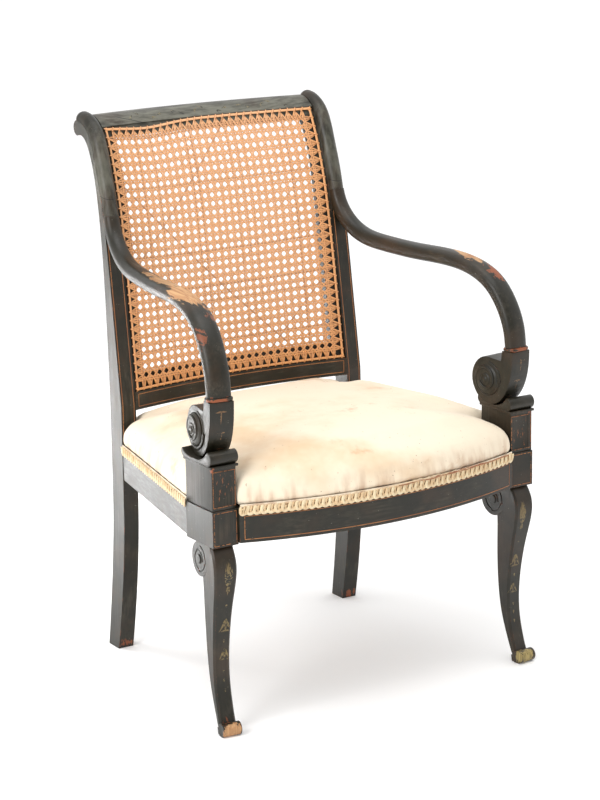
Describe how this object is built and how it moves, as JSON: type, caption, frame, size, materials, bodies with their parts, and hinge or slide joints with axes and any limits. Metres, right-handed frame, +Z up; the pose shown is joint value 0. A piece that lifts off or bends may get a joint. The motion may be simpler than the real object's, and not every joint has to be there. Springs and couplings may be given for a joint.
{
  "type": "cane-back armchair",
  "caption": "Sabre-leg open armchair with an over-scrolled, hollow cane back, down-swept scroll arms on square blocks, a bow front and a stuffed seat edged with braid.",
  "frame": {"origin": "centre of the chair's outline on the floor", "axes": "+Z up, -Y towards the sitter's front, +X to the right seen from the front"},
  "size_m": [0.5722, 0.5834, 0.8507],
  "materials": {
    "ebonised_wood": "aged black paint, satin",
    "bare_beech": "unpainted, matt",
    "cane": "natural cane, satin",
    "gimp_braid": "woven braid",
    "seat_cloth": "aged cream cloth",
    "jute_web": "herringbone web",
    "hessian_cloth": "open weave",
    "screw_brass": "dull",
    "tack_steel": "blued"
  },
  "bodies": {
    "root": {"arm_block_left": "ebonised_wood", "arm_block_right": "ebonised_wood", "arm_left": "ebonised_wood", "arm_right": "ebonised_wood", "arm_ring_left": "ebonised_wood", "arm_ring_right": "ebonised_wood", "arm_scroll_left": "ebonised_wood", "arm_scroll_right": "ebonised_wood", "back_seat_rail": "bare_beech", "brace_screws": "screw_brass", "cane_binder_bottom": "cane", "cane_binder_left": "cane", "cane_binder_right": "cane", "cane_binder_top": "cane", "cane_panel": "cane", "corner_brace_back_left": "bare_beech", "corner_brace_back_right": "bare_beech", "corner_brace_front_left": "bare_beech", "corner_brace_front_right": "bare_beech", "crest_rail": "ebonised_wood", "dowels": "bare_beech", "front_leg_left": "ebonised_wood", "front_leg_right": "ebonised_wood", "front_rail": "ebonised_wood", "gimp_back": "gimp_braid", "gimp_front": "gimp_braid", "gimp_left": "gimp_braid", "gimp_right": "gimp_braid", "hessian": "hessian_cloth", "lower_back_rail": "ebonised_wood", "post_left": "ebonised_wood", "post_right": "ebonised_wood", "saddle_left": "ebonised_wood", "saddle_right": "ebonised_wood", "seat_pad": "seat_cloth", "side_rail_left": "ebonised_wood", "side_rail_right": "ebonised_wood", "web_tacks": "tack_steel", "webbing_across": "jute_web", "webbing_along": "jute_web"}
  },
  "joints": []
}
